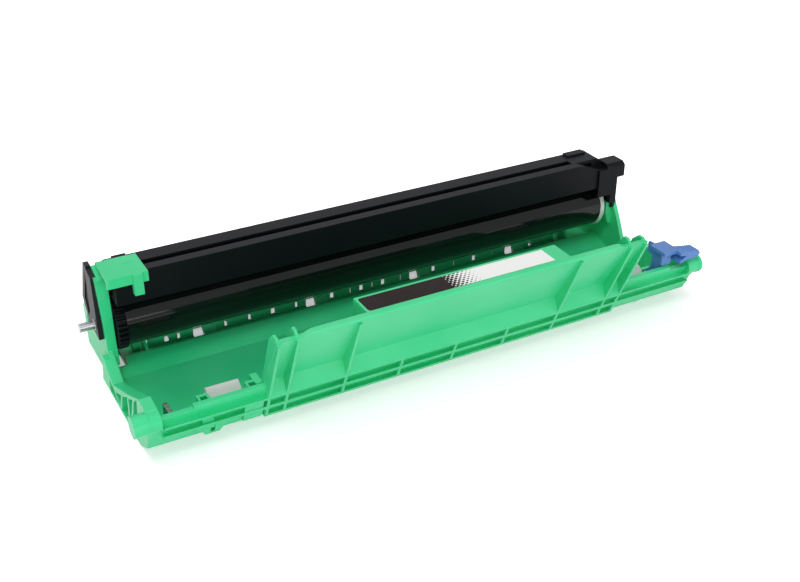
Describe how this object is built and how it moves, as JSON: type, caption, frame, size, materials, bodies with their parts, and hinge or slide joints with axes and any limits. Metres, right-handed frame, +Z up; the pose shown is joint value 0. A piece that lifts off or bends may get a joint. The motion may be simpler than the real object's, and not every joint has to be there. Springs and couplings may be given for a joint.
{
  "type": "printer drum unit",
  "caption": "Long open tray with a photoconductor drum, a charger cover with a sliding wire cleaner, a transfer roller and a toner bay behind a leaning front wall.",
  "frame": {"origin": "centre of the bounding box's base", "axes": "+X along the drum towards the lever end, +Y to the back under the charger cover, +Z up"},
  "size_m": [0.2774, 0.1208, 0.0564],
  "materials": {
    "green_plastic": "satin moulded",
    "black_plastic": "fine texture",
    "grey_plastic": "fine texture",
    "dark_plastic": "smooth",
    "white_plastic": "smooth",
    "blue_plastic": "satin moulded",
    "drum_coating": "polished coating",
    "black_rubber": "foamed",
    "steel": "turned",
    "bright_steel": "bright sheet",
    "felt": "felt"
  },
  "bodies": {
    "frame": {"tray": "green_plastic", "charger_housing": "black_plastic", "left_side_cover": "grey_plastic", "right_end_cap": "black_plastic", "corona_wire": "bright_steel", "grid_plate": "bright_steel", "drum_shaft": "steel", "transfer_bearing_left": "green_plastic", "transfer_bearing_right": "green_plastic", "lever_pin": "steel", "contact_strip": "bright_steel", "discharge_plate": "bright_steel", "dust_brush": "felt"},
    "drum": {"drum_tube": "drum_coating", "drum_gear": "black_plastic", "drum_end_flange": "white_plastic"},
    "transfer_roller": {"transfer_shaft": "steel", "transfer_sponge": "black_rubber", "transfer_gear": "dark_plastic"},
    "cleaner": {"wire_cleaner": "green_plastic", "cleaner_pads": "felt"},
    "lever": {"lock_lever": "blue_plastic"},
    "left_pusher": {"pusher_left": "white_plastic"},
    "right_pusher": {"pusher_right": "white_plastic"}
  },
  "joints": [
    {"name": "drum_spin", "type": "hinge", "parent": "frame", "child": "drum", "pos_m": [0.0035, 0.0304, 0.026], "axis": [1, 0, 0], "continuous": true},
    {"name": "transfer_spin", "type": "hinge", "parent": "frame", "child": "transfer_roller", "pos_m": [0.0035, 0.04265, 0.0124], "axis": [1, 0, 0], "continuous": true},
    {"name": "cleaner_slide", "type": "slide", "parent": "frame", "child": "cleaner", "axis": [1, 0, 0], "range_m": [0, 0.225]},
    {"name": "lever_press", "type": "hinge", "parent": "frame", "child": "lever", "pos_m": [0.1195, -0.0332, 0.0136], "axis": [0, 1, 0], "range_deg": [0, 4], "stiffness_Nm_per_rad": 0.5, "springref_deg": -2.86},
    {"name": "left_pusher_tilt", "type": "hinge", "parent": "frame", "child": "left_pusher", "pos_m": [-0.0981, -0.0284, 0.0076], "axis": [1, 0, 0], "range_deg": [0, 8], "stiffness_Nm_per_rad": 0.4, "springref_deg": -11.46},
    {"name": "right_pusher_tilt", "type": "hinge", "parent": "frame", "child": "right_pusher", "pos_m": [0.1051, -0.0284, 0.0076], "axis": [1, 0, 0], "range_deg": [0, 8], "stiffness_Nm_per_rad": 0.4, "springref_deg": -11.46}
  ],
  "couplings": [
    {"joint": "transfer_spin", "follows": "drum_spin", "ratio": -2}
  ]
}
